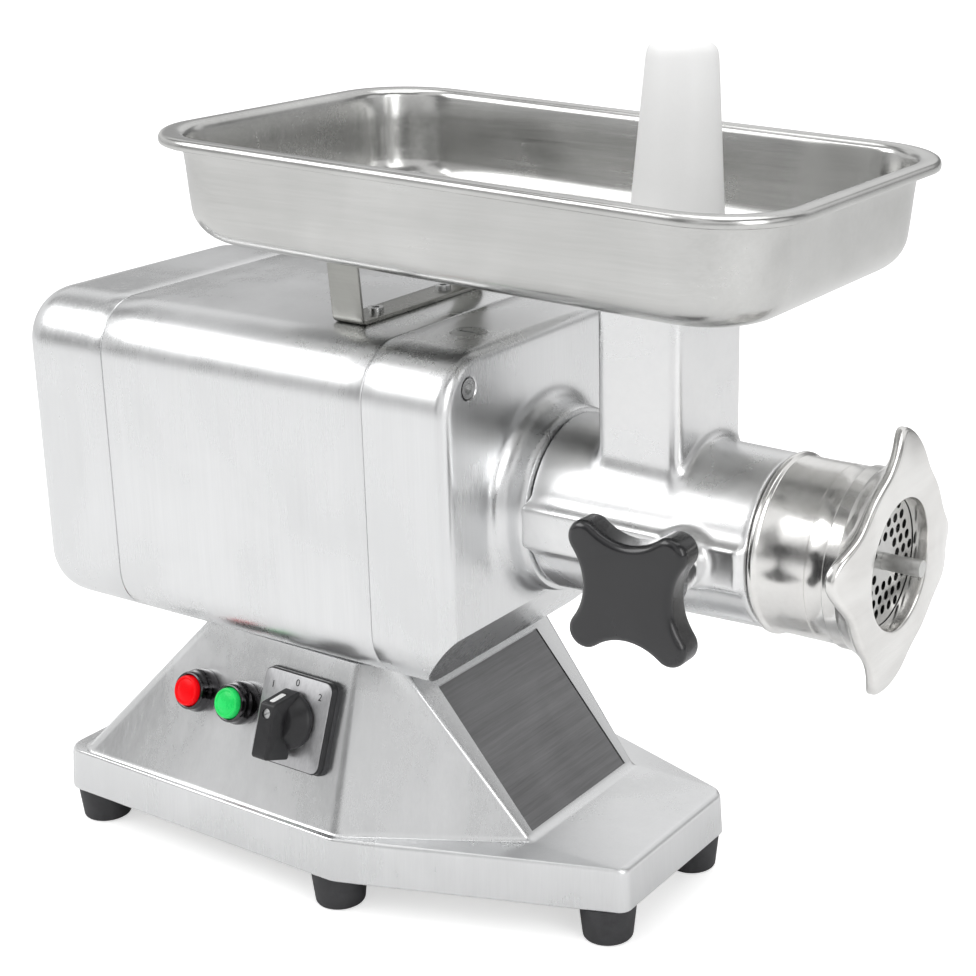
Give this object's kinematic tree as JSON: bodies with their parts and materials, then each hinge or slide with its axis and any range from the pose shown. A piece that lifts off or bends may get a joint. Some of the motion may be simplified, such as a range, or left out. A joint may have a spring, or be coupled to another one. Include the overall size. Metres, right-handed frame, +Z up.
{
  "type": "electric meat grinder",
  "caption": "Bench-top electric meat grinder with a motor housing, cast grinding head, feed tray, pusher, wing ring nut and a control panel on a splayed base.",
  "frame": {"origin": "centre of the bounding box on the table surface, under the feet", "axes": "+X along the auger out of the grinding head, +Z up, the control panel on the -Y side"},
  "size_m": [0.487, 0.2155, 0.4411],
  "materials": {
    "brushed_aluminium": "brushed",
    "cast_aluminium": "fine cast, satin",
    "sheet_steel": "plain",
    "screw_steel": "turned",
    "dark_panel": "dark brushed",
    "foot_rubber": "matte",
    "stainless": "brushed",
    "polished_steel": "polished",
    "core_steel": "laminated",
    "copper_wire": "enamelled wire",
    "gear_steel": "ground",
    "black_plastic": "satin",
    "gloss_black": "glossy",
    "pale_plastic": "satin",
    "switch_face": "brushed",
    "collar_chrome": "polished",
    "red_lens": "glossy lens",
    "green_lens": "glossy lens",
    "bronze": "bearing bronze",
    "cast_tinned": "tinned",
    "white_plastic": "satin"
  },
  "bodies": {
    "frame": {"base_casting": "brushed_aluminium", "bottom_cover": "sheet_steel", "bottom_screws": "screw_steel", "slope_panel": "dark_panel", "feet": "foot_rubber", "foot_screws": "screw_steel", "body_shell": "brushed_aluminium", "housing_bolts": "screw_steel", "rear_cover": "brushed_aluminium", "rear_screws": "screw_steel", "gearbox_casting": "brushed_aluminium", "front_screws": "screw_steel", "oil_plug": "screw_steel", "tray_bracket": "stainless", "bracket_screws": "screw_steel", "gear_plate": "brushed_aluminium", "gear_plate_screws": "screw_steel", "motor_frame": "sheet_steel", "stator_core": "core_steel", "windings": "copper_wire", "motor_end_shield": "brushed_aluminium", "motor_bearings": "gear_steel", "lay_bearings": "gear_steel", "output_bearings": "gear_steel", "shaft_seal": "foot_rubber", "capacitor": "sheet_steel", "terminal_block": "pale_plastic", "cord_gland": "black_plastic", "switch_body": "black_plastic", "switch_gasket": "foot_rubber", "switch_plate": "switch_face", "red_collar": "collar_chrome", "green_collar": "collar_chrome"},
    "rotor": {"rotor_core": "core_steel", "motor_shaft": "gear_steel", "cooling_fan": "black_plastic"},
    "lay": {"wheel_gear": "gear_steel", "lay_shaft": "gear_steel"},
    "output": {"output_gear": "gear_steel", "output_shaft": "gear_steel"},
    "head": {"head_casting": "cast_aluminium", "auger_bushing": "bronze", "cutting_plate": "stainless"},
    "auger": {"auger": "cast_tinned", "knife": "gear_steel"},
    "ring": {"ring_nut": "polished_steel"},
    "knob": {"clamp_knob": "gloss_black", "clamp_screw": "screw_steel"},
    "tray": {"feed_tray": "stainless"},
    "stomper": {"stomper": "white_plastic"},
    "switch": {"switch_handle": "black_plastic", "handle_screw": "screw_steel"},
    "red": {"red_button": "red_lens"},
    "green": {"green_button": "green_lens"}
  },
  "joints": [
    {"name": "rotor_spin", "type": "hinge", "parent": "frame", "child": "rotor", "pos_m": [0, 0, 0.213], "axis": [1, 0, 0], "continuous": true},
    {"name": "lay_spin", "type": "hinge", "parent": "frame", "child": "lay", "pos_m": [0, 0.03398, 0.17902], "axis": [1, 0, 0], "continuous": true},
    {"name": "output_spin", "type": "hinge", "parent": "frame", "child": "output", "pos_m": [0, 0, 0.213], "axis": [1, 0, 0], "continuous": true},
    {"name": "head_slide_off", "type": "slide", "parent": "frame", "child": "head", "axis": [1, 0, 0], "range_m": [0, 0.06]},
    {"name": "auger_spin", "type": "hinge", "parent": "head", "child": "auger", "pos_m": [0, 0, 0.213], "axis": [1, 0, 0], "continuous": true},
    {"name": "ring_nut_turn", "type": "hinge", "parent": "head", "child": "ring", "pos_m": [0, 0, 0.213], "axis": [1, 0, 0], "range_deg": [0, 720]},
    {"name": "clamp_knob_turn", "type": "hinge", "parent": "head", "child": "knob", "pos_m": [0.143, -0.098, 0.213], "axis": [0, 1, 0], "range_deg": [-1080, 0]},
    {"name": "tray_lift", "type": "slide", "parent": "head", "child": "tray", "axis": [0, 0, 1], "range_m": [0, 0.12]},
    {"name": "stomper_lift", "type": "slide", "parent": "tray", "child": "stomper", "axis": [0, 0, 1], "range_m": [0, 0.12]},
    {"name": "switch_turn", "type": "hinge", "parent": "frame", "child": "switch", "pos_m": [-0.06764, -0.08353, 0.09484], "axis": [-0.0258, -0.9371, 0.3481], "range_deg": [-45, 45]},
    {"name": "red_button_push", "type": "slide", "parent": "frame", "child": "red", "axis": [0.0258, 0.9371, -0.3481], "range_m": [0, 0.003], "stiffness_N_per_m": 600},
    {"name": "green_button_push", "type": "slide", "parent": "frame", "child": "green", "axis": [0.0258, 0.9371, -0.3481], "range_m": [0, 0.003], "stiffness_N_per_m": 600}
  ],
  "couplings": [
    {"joint": "lay_spin", "follows": "rotor_spin", "ratio": -0.30612},
    {"joint": "output_spin", "follows": "rotor_spin", "ratio": 0.12605},
    {"joint": "auger_spin", "follows": "rotor_spin", "ratio": 0.12605}
  ]
}
